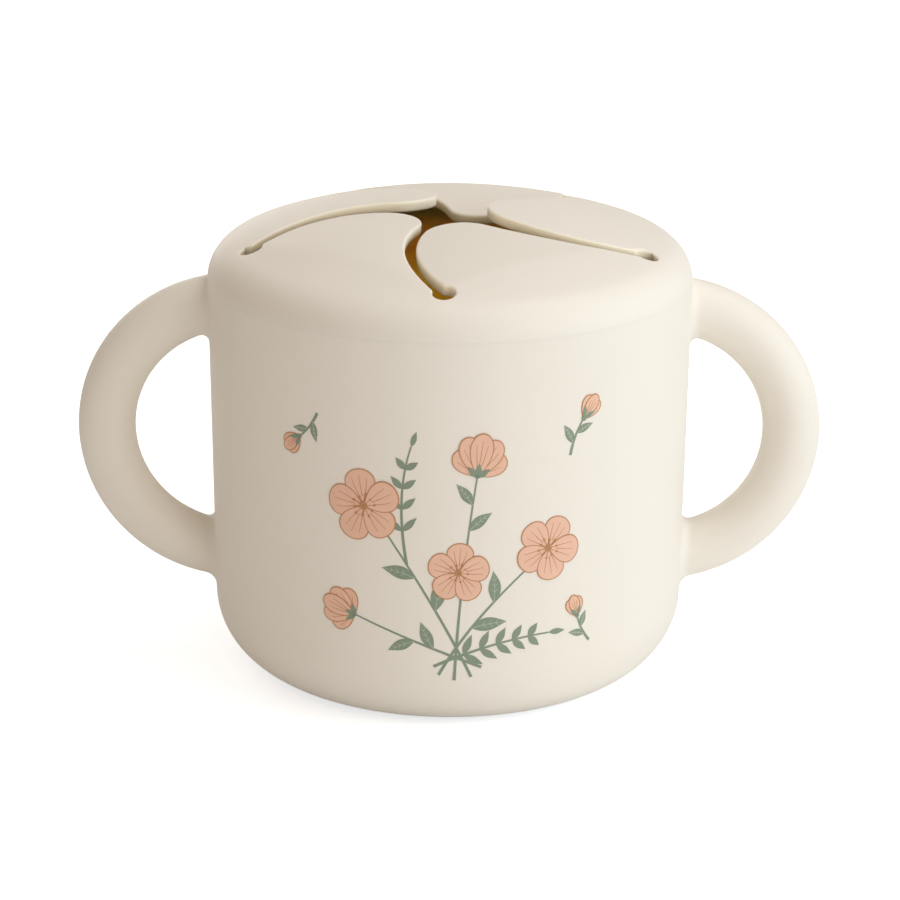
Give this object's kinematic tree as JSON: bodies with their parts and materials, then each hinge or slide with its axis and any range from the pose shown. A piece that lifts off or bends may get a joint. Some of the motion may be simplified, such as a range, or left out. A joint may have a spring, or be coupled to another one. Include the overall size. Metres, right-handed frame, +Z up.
{
  "type": "toddler snack container",
  "caption": "Round silicone snack cup for toddlers with two ring handles and a pull-off lid cut into curved flaps that a small hand pushes through.",
  "frame": {"origin": "centre of the base, on the surface that the cup stands on", "axes": "+Z up, +X towards the right handle as seen from the front, the front faces -Y"},
  "size_m": [0.1368, 0.088, 0.0869],
  "materials": {
    "cup_silicone": "matte, soft sheen",
    "lid_silicone": "matte, soft sheen"
  },
  "bodies": {
    "cup": {"cup_body": "cup_silicone", "left_handle": "cup_silicone", "right_handle": "cup_silicone"},
    "lid": {"lid_shell": "lid_silicone"},
    "flap_front_right": {"flap_front_right": "lid_silicone"},
    "flap_back_right": {"flap_back_right": "lid_silicone"},
    "flap_back": {"flap_back": "lid_silicone"},
    "flap_back_left": {"flap_back_left": "lid_silicone"},
    "flap_front_left": {"flap_front_left": "lid_silicone"}
  },
  "joints": [
    {"name": "lid_lift", "type": "slide", "parent": "cup", "child": "lid", "axis": [0, 0, 1], "range_m": [0, 0.06]},
    {"name": "flap_front_right_bend", "type": "hinge", "parent": "lid", "child": "flap_front_right", "pos_m": [0.01635, -0.02387, 0.08097], "axis": [0.8251, 0.565, 0], "range_deg": [-65, 35], "stiffness_Nm_per_rad": 0.01, "springref_deg": 0.97},
    {"name": "flap_back_right_bend", "type": "hinge", "parent": "lid", "child": "flap_back_right", "pos_m": [0.02776, 0.00817, 0.08097], "axis": [-0.2823, 0.9593, 0], "range_deg": [-65, 35], "stiffness_Nm_per_rad": 0.01, "springref_deg": 0.97},
    {"name": "flap_back_bend", "type": "hinge", "parent": "lid", "child": "flap_back", "pos_m": [0.00081, 0.02892, 0.08097], "axis": [-0.9996, 0.0279, 0], "range_deg": [-65, 35], "stiffness_Nm_per_rad": 0.01, "springref_deg": 0.97},
    {"name": "flap_back_left_bend", "type": "hinge", "parent": "lid", "child": "flap_back_left", "pos_m": [-0.02726, 0.00971, 0.08097], "axis": [-0.3355, -0.9421, 0], "range_deg": [-65, 35], "stiffness_Nm_per_rad": 0.01, "springref_deg": 0.97},
    {"name": "flap_front_left_bend", "type": "hinge", "parent": "lid", "child": "flap_front_left", "pos_m": [-0.01765, -0.02292, 0.08097], "axis": [0.7923, -0.6101, 0], "range_deg": [-65, 35], "stiffness_Nm_per_rad": 0.01, "springref_deg": 0.97}
  ]
}
